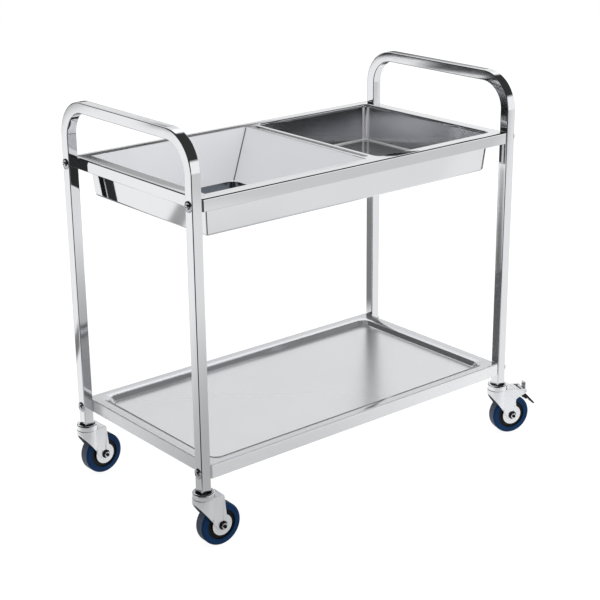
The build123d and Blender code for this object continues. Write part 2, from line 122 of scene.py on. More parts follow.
def colour(hex_value):
    channels = [int(hex_value[i : i + 2], 16) / 255 for i in (1, 3, 5)]
    return [c / 12.92 if c <= 0.04045 else ((c + 0.055) / 1.055) ** 2.4 for c in channels] + [1.0]


print("middle grey:", [round(value, 3) for value in colour("#808080")])

# %% [markdown]
# ## Studio
#
# Polished steel has almost no colour of its own: it shows the room. This room is a dark studio with one white paper
# sweep. The sweep stands behind the cart, starts a little above the horizon, leans forward over the top and is
# brighter on the right. A low white wall stands on the right. Between the two it is dark, and that draws the black
# stripes on the bends of the tubes.
#
# Lamps and boards could make such a room, but each would be one more thing to keep out of the picture. Here the world
# shader paints it by direction: a dot product tells how far a ray points up, to the right or along a slant, and
# patches with soft edges are multiplied together. Rays from the camera see plain white.

# %% Patches of light and shade
def patch(tree, *edges):
    """Each edge is a soft step from bottom to top while a value goes from low to high; a patch is their product."""
    product = None
    for value, low, high, bottom, top in edges:
        ends = {"Value": value, "From Min": low, "From Max": high, "To Min": bottom, "To Max": top}
        step = add(tree, "MapRange", ends, interpolation_type="SMOOTHSTEP").outputs[0]
        if product is not None:
            step = add(tree, "Math", {0: product, 1: step}, operation="MULTIPLY").outputs[0]
        product = step
    return product


def dim(tree, level, dark):
    """What is left of a level of light where a dark patch covers it."""
    clear = add(tree, "Math", {0: 1.0, 1: dark}, operation="SUBTRACT").outputs[0]
    return add(tree, "Math", {0: level, 1: clear}, operation="MULTIPLY").outputs[0]


scene = bpy.context.scene
scene.view_settings.view_transform = "Standard"
print("colours are shown with the", scene.view_settings.view_transform, "transform")

# %% The room
BEHIND, RIGHT, UP = Vector((0.635, 0.773, 0.0)), Vector((0.773, -0.635, 0.0)), Vector((0.0, 0.0, 1.0))


def studio_room():
    room = bpy.data.worlds.new("studio_room")
    room.use_nodes = True
    tree = room.node_tree
    tree.nodes.clear()
    way = add(tree, "TexCoord").outputs["Generated"]
    slanting = UP + 0.14 * RIGHT
    directions = (UP, RIGHT, BEHIND - 0.25 * RIGHT, slanting, RIGHT - 2.46 * slanting)
    height, right, sweep_front, slant, strip_end = [
        add(tree, "VectorMath", {0: way, 1: direction}, operation="DOT_PRODUCT").outputs["Value"]
        for direction in directions
    ]
    # The sweep: its front edge leans towards the cart, further on the left, its foot hangs over the horizon, and it
    # is brightest overhead and on the right.
    sweep = patch(
        tree,
        (sweep_front, 0.52, 0.66, 0.0, 1.0),
        (height, 0.16, 0.20, 0.0, 1.0),
        (height, 0.45, 0.75, 1.0, 1.6),
    )
    level = add(tree, "Math", {0: right, 1: 0.4, 2: 1.04}, operation="MULTIPLY_ADD").outputs[0]
    sweep = add(tree, "Math", {0: sweep, 1: level}, operation="MULTIPLY").outputs[0]
    # A slanting black strip hangs in front of it, left of the middle, with a grey one above: the back rim of the
    # tray mirrors the first, the left rim the second.
    notch = patch(tree, (right, -0.075, -0.05, 0.0, 0.012))
    strip_top = add(tree, "Math", {0: slant, 1: notch}, operation="ADD").outputs[0]
    strip = patch(
        tree,
        (slant, 0.2075, 0.2105, 0.0, 0.97),
        (slant, 0.218, 0.2225, 1.0, 0.5),
        (strip_top, 0.252, 0.258, 1.0, 0.0),
        (strip_end, -0.5585, -0.5545, 1.0, 0.0),
    )
    sweep = dim(tree, sweep, strip)
    # A low white wall on the right, and dark walls that are a little lighter higher up.
    low_wall = patch(tree, (right, 0.35, 0.6, 0.0, 1.0), (height, 0.27, 0.39, 1.25, 0.0))
    dark_walls = patch(tree, (height, 0.0, 0.5, 0.02, 0.05))
    walls = add(tree, "Math", {0: low_wall, 1: dark_walls}, operation="ADD").outputs[0]
    glow = add(tree, "Math", {0: sweep, 1: walls}, operation="MAXIMUM").outputs[0]
    # Matt things get a fill light as well, stronger from the right; a mirror would show it as fog.
    ray = add(tree, "LightPath").outputs
    soft = add(tree, "Math", {0: right, 1: 0.63, 2: 0.92}, operation="MULTIPLY_ADD").outputs[0]
    soft = add(tree, "Math", {0: soft, 1: 0.2}, operation="MAXIMUM").outputs[0]
    glow = add(tree, "Math", {0: ray["Is Diffuse Ray"], 1: soft, 2: glow}, operation="MULTIPLY_ADD").outputs[0]
    strength = add(tree, "Mix", {0: ray["Is Camera Ray"], 2: glow, 3: 1.0}).outputs[0]
    light = add(tree, "Background", {"Color": (1, 1, 1, 1), "Strength": strength})
    add(tree, "OutputWorld", {"Surface": light.outputs[0]})
    return room


scene.world = studio_room()
print("room nodes:", len(scene.world.node_tree.nodes))

# %% [markdown]
# ## Floor
#
# The cart stands on a light table: a sheet of white acrylic that is lit from below, so hardly a shadow is left. To
# the camera it is plain white. What the polished steel mirrors of it is painted light and shade: a painted shadow
# round the cart, brightest behind it, a painted dark fan in front that draws a thin dark line down the legs' front
# corners, and two grey patches of painted shadow behind on the left, a broad one and a narrow band, that give the
# right-hand legs their soft bands. All of it is one emission shader whose strength is made of patches.

# %% Lit acrylic
def bare_material(name):
    """A material with an empty node tree."""
    material = bpy.data.materials.new(name)
    material.use_nodes = True
    material.node_tree.nodes.clear()
    return material, material.node_tree


def lit_acrylic():
    acrylic, tree = bare_material("lit_white_acrylic")
    place = add(tree, "TexCoord").outputs["Object"]
    axes = add(tree, "SeparateXYZ", {"Vector": place}).outputs
    side, back = axes["X"], axes["Y"]
    away = add(tree, "VectorMath", {0: place}, operation="LENGTH").outputs["Value"]
    # Painted shadow round the cart: the level is lower near it, except behind it, where it is highest.
    painted_shadow_round_cart, rear = patch(tree, (away, 0.6, 1.8, 0.6, 1.06)), patch(tree, (back, -0.4, 0.0, 0.6, 1.15))
    level = add(tree, "Math", {0: painted_shadow_round_cart, 1: rear}, operation="MAXIMUM").outputs[0]
    brighter_left = patch(tree, (side, -3.0, 1.0, 1.08, 1.0))
    level = add(tree, "Math", {0: level, 1: brighter_left}, operation="MULTIPLY").outputs[0]
    # Painted shade in front: a dark fan that spreads from below the front left leg.
    from_leg = add(tree, "VectorMath", {0: place, 1: (0.2, 0.47, 0.0)}, operation="ADD").outputs[0]
    reach = add(tree, "VectorMath", {0: from_leg}, operation="LENGTH").outputs["Value"]
    ahead = add(tree, "Math", {0: back, 1: 0.47}, operation="ADD").outputs[0]
    ahead = add(tree, "Math", {0: ahead, 1: reach}, operation="DIVIDE").outputs[0]
    painted_front_shade = patch(tree, (ahead, -0.75, -0.5, 0.95, 0.0), (reach, 0.25, 0.40, 0.0, 1.0))
    # Two patches of painted shadow behind on the left, a broad one and a narrow band; aside is the distance from the
    # band's middle line.
    painted_shadow_patch = patch(tree, (side, -1.85, -1.7, 0.0, 0.75), (side, -0.5, -0.3, 1.0, 0.0), (back, 0.36, 0.42, 0.0, 1.0))
    aside = add(tree, "Math", {0: side, 1: 0.0488, 2: back}, operation="MULTIPLY_ADD").outputs[0]
    aside = add(tree, "Math", {0: aside, 1: -0.137}, operation="ADD").outputs[0]
    aside = add(tree, "Math", {0: aside}, operation="ABSOLUTE").outputs[0]
    painted_shadow_band = patch(
        tree,
        (aside, 0.02, 0.045, 1.0, 0.0),
        (side, -2.1, -1.0, 0.6, 0.85),
        (side, -2.35, -2.2, 0.0, 1.0),
        (side, -0.8, -0.6, 1.0, 0.0),
    )
    # The table's right corner and its left and far ends get less light.
    corner = patch(tree, (side, 2.3, 2.8, 0.0, 0.2), (back, -0.15, -0.05, 1.0, 0.0))
    left_end = patch(tree, (side, -4.40, -4.22, 0.93, 0.0), (back, 0.75, 0.95, 1.0, 0.0))
    far_end = patch(tree, (back, 1.2, 1.7, 0.0, 0.94))
    for dark in (painted_front_shade, painted_shadow_patch, painted_shadow_band, corner, left_end, far_end):
        level = dim(tree, level, dark)
    table = add(tree, "Emission", {"Strength": level})
    # To the camera the table is plain white, with a trace of shadow.
    matt = add(tree, "BsdfDiffuse", {"Color": colour("#F6F6F6")})
    white = add(tree, "Emission", {"Strength": 1.10})
    plain = add(tree, "MixShader", {0: 0.84, 1: matt.outputs[0], 2: white.outputs[0]})
    ray = add(tree, "LightPath").outputs
    seen = add(tree, "MixShader", {0: ray["Is Camera Ray"], 1: table.outputs[0], 2: plain.outputs[0]})
    add(tree, "OutputMaterial", {"Surface": seen.outputs[0]})
    return acrylic


acrylic = lit_acrylic()
print("acrylic nodes:", len(acrylic.node_tree.nodes))

# %% The light table
def light_table(near, far, half_width):
    mesh = bpy.data.meshes.new("floor")
    mesh.from_pydata(
        [(-half_width, near, 0), (half_width, near, 0), (half_width, far, 0), (-half_width, far, 0)],
        [],
        [(0, 1, 2, 3)],
    )
    mesh.materials.append(acrylic)
    floor = bpy.data.objects.new("floor", mesh)
    scene.collection.objects.link(floor)
    floor.matrix_world = cart @ Matrix.Rotation(math.radians(-39.4), 4, "Z")
    return floor


floor = light_table(-4.0, 7.0, 5.0)
print("floor:", [round(value, 2) for value in floor.dimensions])

# %% [markdown]
# ## Finishes
#
# ### Stainless steel
#
# All the sheet and tube is chrome-nickel stainless steel. What changes from piece to piece is how it was finished:
# the tube is buffed to a mirror, the tray is bright rolled sheet, the funnel and the shelf are ground, which blurs
# what they mirror, and the drawn basin is polished. One recipe makes them all. A noise stretched along the grinding
# direction varies the roughness, and a slow wave bends the reflections as a thin sheet does. Real grinding lines are
# about a tenth of a millimetre wide. They are drawn at about a millimetre here, so that they show.

# %% Stainless steel
def steel(name, light, shade, rough, spread, line_mm, along, wave_mm, wave_height_mm, source="Object", matt=0.0):
    """Bare metal; matt is the share of light that a fine grind or a plating scatters evenly."""
    material, tree = bare_material(name)
    place = add(tree, "TexCoord").outputs[source]
    # Lines: the noise is squeezed to a fiftieth along the grind, so each grain becomes a streak.
    stretch = [0.02 if axis in along else 1.0 for axis in "XYZ"]
    pulled = add(tree, "Mapping", {"Vector": place, "Scale": stretch}).outputs[0]
    lines = add(tree, "TexNoise", {"Vector": pulled, "Scale": 1000 / line_mm, "Detail": 3.0}).outputs[0]
    ends = {"From Min": 0.3, "From Max": 0.7, "To Min": rough - spread, "To Max": rough + spread}
    blur = add(tree, "MapRange", {"Value": lines, **ends}).outputs[0]
    # Tone: rolled sheet is never one even grey, it drifts over a hand's breadth.
    drift = add(tree, "TexNoise", {"Vector": place, "Scale": 1000 / 180, "Detail": 2.0}).outputs[0]
    tone = add(tree, "Mix", {0: drift, 6: colour(light), 7: colour(shade)}, data_type="RGBA").outputs[2]
    # Two bumps: the sheet's slow wave, and on it the scratches of the grind.
    wave = add(tree, "TexNoise", {"Vector": place, "Scale": 1000 / wave_mm, "Detail": 1.0}).outputs[0]
    bend = add(tree, "Bump", {"Height": wave, "Strength": 1.0, "Distance": wave_height_mm / 1000}).outputs[0]
    scratch = add(tree, "Bump", {"Height": lines, "Normal": bend, "Strength": 0.06, "Distance": 0.00002}).outputs[0]
    sockets = {"Base Color": tone, "Metallic": 1.0 - matt, "Roughness": blur, "Normal": scratch}
    shader = add(tree, "BsdfPrincipled", sockets)
    add(tree, "OutputMaterial", {"Surface": shader.outputs[0]})
    return material


# Buffed square tube: a mirror with faint lines along its run, so edges show as clean dark and light stripes.
buffed_tube = steel("buffed_stainless_tube", "#D6D7D9", "#CFD0D3", 0.06, 0.02, 0.8, "Y", 140, 0.2, "UV")
# Bright rolled sheet: nearly a mirror, its flat faces bend what they show by a degree or so.
bright_sheet = steel("bright_rolled_stainless_sheet", "#D6D7D8", "#CFD0D3", 0.045, 0.015, 1.2, "X", 160, 0.08)
# Finely ground sheet: the lines run along the shelf and blur the legs' reflections to soft streaks.
ground_shelf = steel("fine_ground_stainless_shelf", "#DADBDD", "#D3D4D7", 0.24, 0.01, 0.9, "X", 200, 0.12, matt=0.3)
# The shelf's pressed rim: the punch has burnished it, so the bend draws a white and a dark line.
pressed_rim = steel("press_burnished_stainless_rim", "#CDCED1", "#C4C5C9", 0.12, 0.02, 0.9, "", 120, 0.1, matt=0.3)
# The shelf's skirt, outside the press: still as pale and soft as the mill's finish.
mill_skirt = steel("mill_finish_stainless_skirt", "#DCDDDF", "#D4D5D8", 0.24, 0.01, 0.9, "X", 200, 0.1, matt=0.6)
# The funnel's plates: ground matt, so they scatter most of the light and look pale and even.
ground_funnel = steel("fine_ground_stainless_funnel", "#E6E6EA", "#DEDFE3", 0.36, 0.02, 0.9, "Y", 180, 0.2, matt=0.85)
# Deep drawn and polished basin: the sharpest mirror on the cart, with the slow waves of the draw.
polished_basin = steel("drawn_polished_stainless_basin", "#D6D7D9", "#CDCED1", 0.14, 0.03, 1.0, "Z", 90, 0.2)
# The basin's floor: the same polish, worn to a haze.
worn_basin = steel("worn_stainless_basin_floor", "#D9DADC", "#CFD0D3", 0.14, 0.03, 1.0, "X", 90, 0.2, matt=0.3)
# Painted highlight on the basin's upright corners and floor bend: brighter and softer than the mirror beside it.
painted_highlight_basin = steel("stainless_basin_bends_painted_highlight", "#F2F2F3", "#EAEAEC", 0.40, 0.03, 0.9, "", 40, 0.1, matt=0.8)
# Cold-formed stainless fasteners: small, smooth and bright.
bright_fastener = steel("cold_formed_stainless_fastener", "#C4C5C8", "#B4B6B9", 0.14, 0.05, 0.6, "", 30, 0.05)
# Pressed cup washers: a little rougher than the bolts and painted darker as painted shade, so each bolt shows a grey
# ring.
painted_shade_washer = steel("pressed_stainless_washer", "#B4B6B9", "#A2A5A9", 0.16, 0.05, 0.6, "", 20, 0.05)
# Ground weld seams: rougher than the plates, and painted darker grey as painted shade of the folds.
painted_shade_weld = steel("stainless_weld_painted_shade", "#84878B", "#6F7276", 0.30, 0.06, 0.7, "", 15, 0.05)
# The chute: painted dark slate blue as painted shade inside the hole.
painted_shade_chute = steel("stainless_chute_painted_shade", "#6B7078", "#52575E", 0.26, 0.05, 1.0, "Z", 60, 0.1)
print("steel finishes:", sum("stainless" in material.name for material in bpy.data.materials))

# %% [markdown]
# ### Zinc plate
#
# The casters' pressed parts are mild steel with bright zinc plating. The plating follows the grain of the rolled
# steel below, so it is paler and more mottled than stainless steel, and its reflections are broken up.

# %% Zinc plate
# Fork and discs: the plating is even and half matt. Cap: it is turned smooth first, so it mirrors the leg.
zinc_fork = steel("bright_zinc_plated_fork", "#E0E2E4", "#D2D4D7", 0.20, 0.03, 2.2, "", 30, 0.05, matt=0.35)
zinc_cap = steel("bright_zinc_plated_cap", "#DDDFE1", "#D0D2D5", 0.07, 0.02, 1.4, "", 20, 0.02)
zinc_guard = steel("bright_zinc_plated_disc", "#DCDDDF", "#CCCED1", 0.26, 0.03, 1.6, "", 25, 0.04, matt=0.45)
# Brake lever: stamped and left rough, so its reflections break up.
zinc_brake = steel("bright_zinc_plated_lever", "#CFD1D3", "#B9BCC0", 0.28, 0.08, 1.8, "", 14, 0.10)
# Nuts and pins: turned and plated, small and bright.
zinc_nut = steel("zinc_plated_nut_and_pin", "#CDCFD1", "#BEC0C3", 0.20, 0.06, 0.8, "", 20, 0.05)
# Balls of the swivel race: lapped until they are mirrors.
bearing_ball = steel("lapped_chrome_steel_ball", "#CFCFD0", "#C8C8CA", 0.06, 0.02, 0.5, "", 10, 0.01)
print("plated finishes:", sum("zinc" in material.name for material in bpy.data.materials), "and bearing steel")

# %% [markdown]
# ### Plastic, nylon and phosphate
#
# The plastics are moulded, so they take the texture of the mould: a fine grain that spreads highlights. Phosphated
# steel has such a grain too, from its crystals. The recipe mixes two close colours with a noise, varies the roughness
# with a second one and lifts the grain with a bump. Such grain is a tenth of a millimetre wide, and it is drawn at
# about a millimetre, so that it shows.

# %% Moulded materials
def moulded(name, dark, light, rough, spread, patch_mm, grain_mm, grain_height_mm):
    material, tree = bare_material(name)
    place = add(tree, "TexCoord").outputs["Object"]
    patches = add(tree, "TexNoise", {"Vector": place, "Scale": 1000 / patch_mm, "Detail": 4.0}).outputs[0]
    tone = add(tree, "Mix", {0: patches, 6: colour(dark), 7: colour(light)}, data_type="RGBA").outputs[2]
    grain = add(tree, "TexNoise", {"Vector": place, "Scale": 1000 / grain_mm, "Detail": 2.0}).outputs[0]
    ends = {"From Min": 0.3, "From Max": 0.7, "To Min": rough - spread, "To Max": rough + spread}
    blur = add(tree, "MapRange", {"Value": grain, **ends}).outputs[0]
    lift = add(tree, "Bump", {"Height": grain, "Strength": 1.0, "Distance": grain_height_mm / 1000}).outputs[0]
    sockets = {"Base Color": tone, "Roughness": blur, "Normal": lift, "IOR": 1.52, "Specular IOR Level": 0.14}
    shader = add(tree, "BsdfPrincipled", sockets)
    add(tree, "OutputMaterial", {"Surface": shader.outputs[0]})
    return material


# Polypropylene core of the wheel: near black, half matt.
black_core = moulded("moulded_black_polypropylene", "#060607", "#0D0D0F", 0.42, 0.08, 20, 0.9, 0.02)
# Pedal: the same plastic with a coarser grain, for grip.
black_pedal = moulded("moulded_black_pedal_plastic", "#0A0A0B", "#18181A", 0.5, 0.08, 12, 1.2, 0.05)
# Phosphated axles and spring washers: dark and dry.
black_phosphate = moulded("phosphated_steel", "#101012", "#1F1F22", 0.45, 0.1, 3, 0.6, 0.02)
# Nylon: black and soft in the legs' sockets, milky in the wheels' bearings.
nylon_socket = moulded("moulded_black_nylon_socket", "#0C0C0E", "#161618", 0.5, 0.06, 10, 0.8, 0.02)
nylon_bearing = moulded("turned_white_nylon_bearing", "#D9D7CF", "#E6E4DD", 0.4, 0.05, 10, 0.8, 0.01)
print("finishes so far:", len(bpy.data.materials))

# %% [markdown]
# ### Blue rubber
#
# The tyres are a soft non-marking rubber in navy blue. Where the tyre rolls it picks up dust and goes greyish, and
# its sides stay clean. The distance from the axle, worked out from the object's own coordinates, tells tread from
# side.

# %% Tyre rubber
def tyre_rubber(tread_from_mm):
    material, tree = bare_material("moulded_navy_rubber")
    place = add(tree, "TexCoord").outputs["Object"]
    axes = add(tree, "SeparateXYZ", {"Vector": place}).outputs
    flat = add(tree, "CombineXYZ", {"X": axes["X"], "Y": axes["Y"]}).outputs[0]
    radius = add(tree, "VectorMath", {0: flat}, operation="LENGTH").outputs["Value"]
    off_middle = add(tree, "Math", {0: axes["Z"]}, operation="ABSOLUTE").outputs[0]
    # Specks are dust and grain of about 3 mm, clouds are the uneven pigment.
    specks = add(tree, "TexNoise", {"Vector": place, "Scale": 1000 / 3, "Detail": 5.0}).outputs[0]
    clouds = add(tree, "TexNoise", {"Vector": place, "Scale": 1000 / 25, "Detail": 3.0}).outputs[0]
    start, full = (tread_from_mm - 1.5) / 1000, (tread_from_mm + 1.0) / 1000
    worn = patch(tree, (radius, start, full, 0.0, 1.0), (off_middle, 0.0085, 0.0105, 1.0, 0.0))
    dusty = add(tree, "Math", {0: worn, 1: specks}, operation="MULTIPLY").outputs[0]
    side = add(tree, "Mix", {0: clouds, 6: colour("#05213F"), 7: colour("#0A3056")}, data_type="RGBA").outputs[2]
    tone = add(tree, "Mix", {0: dusty, 6: side, 7: colour("#6A6D74")}, data_type="RGBA").outputs[2]
    ends = {"From Min": 0.3, "From Max": 0.7, "To Min": 0.42, "To Max": 0.62}
    blur = add(tree, "MapRange", {"Value": specks, **ends}).outputs[0]
    lift = add(tree, "Bump", {"Height": specks, "Strength": 0.6, "Distance": 0.00004}).outputs[0]
    sockets = {"Base Color": tone, "Roughness": blur, "Normal": lift, "IOR": 1.52, "Specular IOR Level": 0.08}
    shader = add(tree, "BsdfPrincipled", sockets)
    add(tree, "OutputMaterial", {"Surface": shader.outputs[0]})
    return material


navy_rubber = tyre_rubber(tread_from_mm=47.5)
print("rubber nodes:", len(navy_rubber.node_tree.nodes))

# %% [markdown]
# ## Building with rings
#
# Nearly everything on the cart is a stack of rings: a pressed tray is a rounded rectangle that shrinks and sinks, a
# bent tube is a rounded square carried along a line, a wheel is a profile spun about an axle. Three helpers cover
# them: one draws a rounded rectangle, one rounds the corners of a profile, one wraps a skin of quads over the rings.

# %% Rings, profiles and skins
def ring(length, width, corner, z, centre=(0.0, 0.0), left_corner=None, steps=8):
    """Rounded rectangle seen from above, anticlockwise; the left corners may differ."""
    left_corner = corner if left_corner is None else left_corner
    corners = ((1, -1, corner, -90), (1, 1, corner, 0), (-1, 1, left_corner, 90), (-1, -1, left_corner, 180))
    points = []
    for side_x, side_y, radius, start in corners:
        for step in range(steps + 1):
            turn = math.radians(start + 90 * step / steps)
            x = side_x * (length / 2 - radius) + radius * math.cos(turn)
            y = side_y * (width / 2 - radius) + radius * math.sin(turn)
            points.append((centre[0] + x, centre[1] + y, z))
    return points


def rounded_line(points, radii, steps=6):
    """A flat profile whose inner corners are rounded to the given radii."""
    line = [Vector(points[0])]
    for before, corner, after, radius in zip(points, points[1:], points[2:], radii):
        before, corner, after = Vector(before), Vector(corner), Vector(after)
        to_before = (before - corner).normalized()
        to_after = (after - corner).normalized()
        half = to_before.angle(to_after) / 2
        centre = corner + (to_before + to_after).normalized() * radius / math.sin(half)
        start = corner + to_before * radius / math.tan(half) - centre
        end = corner + to_after * radius / math.tan(half) - centre
        sweep = start.angle_signed(end)
        for step in range(steps + 1):
            spoke = start.copy()
            spoke.rotate(Matrix.Rotation(-sweep * step / steps, 2))
            line.append(centre + spoke)
    line.append(Vector(points[-1]))
    return line


def wrap(bm, rings):
    """Quads over a stack of rings; gives the rings back as vertices."""
    loops = [[bm.verts.new(Vector(point) / 1000) for point in points] for points in rings]
    for low, high in zip(loops, loops[1:]):
        for i in range(len(low)):
            bm.faces.new((low[i - 1], low[i], high[i], high[i - 1]))
    return loops


def fill(bm, *loops):
    """Flat sheet inside the first loop, with the other loops left open."""
    edges = []
    for loop in loops:
        for i in range(len(loop)):
            edges.append(bm.edges.get((loop[i - 1], loop[i])) or bm.edges.new((loop[i - 1], loop[i])))
    bmesh.ops.triangle_fill(bm, use_beauty=True, use_dissolve=False, edges=edges, normal=(0, 0, 1))


test_line = rounded_line([(0, 0), (10, 0), (10, 10)], [4])
print("rounded corner from", test_line[1][:], "to", test_line[-2][:])

# %% [markdown]
# ### From a mesh to a piece
#
# A piece needs the same few things each time: clean normals, smooth shading with its real folds kept sharp, its
# finish, and the CAD body that carries it. Sheet metal is drawn as its visible skin and gets its thickness from a
# Solidify modifier. Weighted normals keep the large flat faces flat in a mirror, so only the bends bend the picture.

# %% Settle a piece on the cart
def settle(bm, name, finish, body, place=cart, sheet_mm=0.0, soften_mm=0.0, outwards=None, sharp=40):
    bmesh.ops.remove_doubles(bm, verts=bm.verts, dist=1e-7)
    bmesh.ops.recalc_face_normals(bm, faces=bm.faces)
    if outwards:
        largest = max(bm.faces, key=lambda face: face.calc_area())
        if largest.normal.dot(Vector(outwards)) < 0:
            bmesh.ops.reverse_faces(bm, faces=bm.faces)
    bm.edges.index_update()
    cut_edges = [edge.index for edge in bm.edges if edge.is_boundary]
    mesh = bpy.data.meshes.new(name)
    bm.to_mesh(mesh)
    bm.free()
    mesh.materials.append(finish)
    mesh.shade_smooth()
    mesh.set_sharp_from_angle(angle=math.radians(sharp))
    for index in cut_edges:
        mesh.edges[index].use_edge_sharp = True
    piece = bpy.data.objects.new(name, mesh)
    scene.collection.objects.link(piece)
    piece.matrix_world = place
    if soften_mm:
        soft = piece.modifiers.new("softened_folds", "BEVEL")
        soft.width = soften_mm / 1000
        soft.segments = 3
        soft.limit_method = "ANGLE"
        soft.angle_limit = math.radians(20)
        soft.harden_normals = False
    if sheet_mm:
        thick = piece.modifiers.new("sheet_thickness", "SOLIDIFY")
        thick.thickness = sheet_mm / 1000
        thick.offset = -1
        thick.use_even_offset = True
    even = piece.modifiers.new("flat_faces_stay_flat", "WEIGHTED_NORMAL")
    even.keep_sharp = True
    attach(piece, body)
    return piece


# %% [markdown]
# ## End frames
#
# Each end is a single length of 25 mm square tube, bent twice on a 75 mm radius. Its section is a square with
# small rounded edges. The section is carried along the line of the tube: up one leg, round a bend, across as the
# handle, round and down again. At both feet the skin turns in over the wall and a little way up the bore, so
# the tube reads as a tube from below. UVs hold the distance along the tube, and the buffing lines follow them.

# %% Bent tube
TUBE, TUBE_WALL, TUBE_EDGE, BEND = 25.0, 1.2, 2.5, 75.0
LEG_X, LEG_Y, LEG_FOOT, HANDLE_TOP = 462.5, 237.5, 134.0, 930.0
BORE_SHOWN = 36.0


def tube_line(x, steps=28):
    """Stations along the tube: place and heading in the plane of the frame."""
    axis_top = HANDLE_TOP - TUBE / 2
    stations = [(x, -LEG_Y, LEG_FOOT, 90)]
    for step in range(steps + 1):
        turn = math.radians(90 * step / steps)
        y = -LEG_Y + BEND - BEND * math.cos(turn)
        stations.append((x, y, axis_top - BEND + BEND * math.sin(turn), 90 - 90 * step / steps))
    for step in range(steps + 1):
        turn = math.radians(90 * step / steps)
        y = LEG_Y - BEND + BEND * math.sin(turn)
        stations.append((x, y, axis_top - BEND + BEND * math.cos(turn), -90 * step / steps))
    stations.append((x, LEG_Y, LEG_FOOT, -90))
    return stations


def carry(section, stations):
    """Copies of a flat section, set square to the line at each station."""
    rings = []
    for x, y, z, heading in stations:
        turn = math.radians(heading)
        rings.append([(x + u, y - v * math.sin(turn), z + v * math.cos(turn)) for u, v, _ in section])
    return rings


def end_frame(name, x):
    outside = ring(TUBE, TUBE, TUBE_EDGE, 0, steps=5)
    bore = ring(TUBE - 2 * TUBE_WALL, TUBE - 2 * TUBE_WALL, TUBE_EDGE - TUBE_WALL, 0, steps=5)
    stations = tube_line(x)
    first, last = stations[0], stations[-1]
    up_the_bore = LEG_FOOT + BORE_SHOWN
    rings = carry(bore, [(x, first[1], up_the_bore, 90), first])
    rings += carry(outside, stations)
    rings += carry(bore, [last, (x, last[1], up_the_bore, -90)])
    bm = bmesh.new()
    loops = wrap(bm, rings)
    bm.faces.new(loops[0])
    bm.faces.new(loops[-1])
    run = bm.loops.layers.uv.new("run")
    places = {}
    length = 0.0
    for index, loop in enumerate(loops):
        if index:
            length += (loop[0].co - loops[index - 1][0].co).length
        for i, vertex in enumerate(loop):
            places[vertex] = (i * 4 * TUBE / len(loop) / 1000, length)
    for face in bm.faces:
        for corner in face.loops:
            corner[run].uv = places[corner.vert]
    return settle(bm, name, buffed_tube, "cart")


for name, x in (("left_tube_frame", -LEG_X), ("right_tube_frame", LEG_X)):
    piece = end_frame(name, x)
    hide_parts(name.replace("tube", "end"))
    print(name, [round(value, 4) for value in piece.dimensions])

# %% [markdown]
# ## Lower shelf
#
# One pressed sheet, 900 by 500 mm. From outside in, its profile is a hem turned under, an upright skirt, a rounded
# edge, a flat rim that rolls over, and a steep slope down to the deck. A box with bevels could come close, but the
# corner radius changes along the profile: small at the skirt, about 25 mm where the sheet was drawn down. So the
# profile is drawn once as a line with rounded corners, each of its points becomes a ring with the radius that a
# short table gives for its distance from the edge, and the last ring is filled to make the deck.

# %% Pressed sheet
def corner_for(inset, table):
    """Corner radius at a distance from the edge, read from a short table."""
    for (inset_a, radius_a), (inset_b, radius_b) in zip(table, table[1:]):
        if inset <= inset_b:
            share = max(0.0, (inset - inset_a) / (inset_b - inset_a))
            return radius_a + share * (radius_b - radius_a)
    return table[-1][1]


def press(bm, line, length, width, top, corners, left_corners=None, centre=(0.0, 0.0), steps=8):
    """Skin of a pressed sheet: each point of its profile, an inset and a height, becomes a ring."""
    rings = []
    for inset, z in line:
        corner = corner_for(inset, corners)
        left_corner = corner_for(inset, left_corners or corners)
        rings.append(ring(length - 2 * inset, width - 2 * inset, corner, top + z, centre, left_corner, steps))
    return wrap(bm, rings)


print("half way down a slope:", corner_for(2.0, [(0, 6.0), (4, 2.0)]), "mm corner")

# %% Pressed shelf
TRAY_LENGTH, TRAY_WIDTH, SHEET, HEM = 900.0, 500.0, 1.0, 10.0
SHELF_TOP, SHELF_SKIRT, DECK_DEPTH = 197.0, 32.0, 15.0
# How far in from the edge the rim's finish begins, and the deck's.
RIM_INSET, DECK_INSET = 3, 40


def lower_shelf():
    outside = [(HEM, -SHELF_SKIRT), (0, -SHELF_SKIRT), (0, 0)]
    inside = [(21, 0), (31, -3.4), (37, -DECK_DEPTH), (60, -DECK_DEPTH)]
    line = rounded_line(outside + inside, [1.2, 4, 50, 3, 4], steps=10)
    corners = [(0, 6.0), (4, 2.5), (16, 27.0), (40, 24.0), (60, 14.0)]
    bm = bmesh.new()
    deck_edge = press(bm, line, TRAY_LENGTH, TRAY_WIDTH, SHELF_TOP, corners)[-1]
    bm.faces.new(deck_edge)
    for face in bm.faces:
        x, y, _ = face.calc_center_median() * 1000
        inset = min(TRAY_LENGTH / 2 - abs(x), TRAY_WIDTH / 2 - abs(y))
        face.material_index = 0 if inset > DECK_INSET else 1 if inset > RIM_INSET else 2
    piece = settle(bm, "pressed_shelf", ground_shelf, "cart", sheet_mm=SHEET, outwards=(0, 0, 1))
    piece.data.materials.append(pressed_rim)
    piece.data.materials.append(mill_skirt)
    return piece


shelf = lower_shelf()
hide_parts("lower_shelf")
print("shelf:", [round(value, 4) for value in shelf.dimensions])

# %% [markdown]
# ## Tray top
#
# The upper sheet has the same skirt and rim as the shelf. Two windows are cut in it: a square one for the funnel
# and one with 14 mm corners for the basin, whose edge is drawn down as a lip. Between them a shallow groove is
# pressed into the divider. The skirt, the lip and the groove are stacks of rings, and one fill makes the flat
# sheet between all of their inner loops.

# %% Tray top
TRAY_TOP, TRAY_SKIRT, WINDOW = 792.0, 28.0, 440.0
FUNNEL_LENGTH, FUNNEL_X = 445.0, -197.5
BASIN_LENGTH, BASIN_X, BASIN_CORNER, LIP = 360.0, 240.0, 14.0, 8.2
GROOVE_X, GROOVE_LENGTH, GROOVE_WIDTH, GROOVE_DEPTH = 40.0, 408.0, 14.0, 5.0


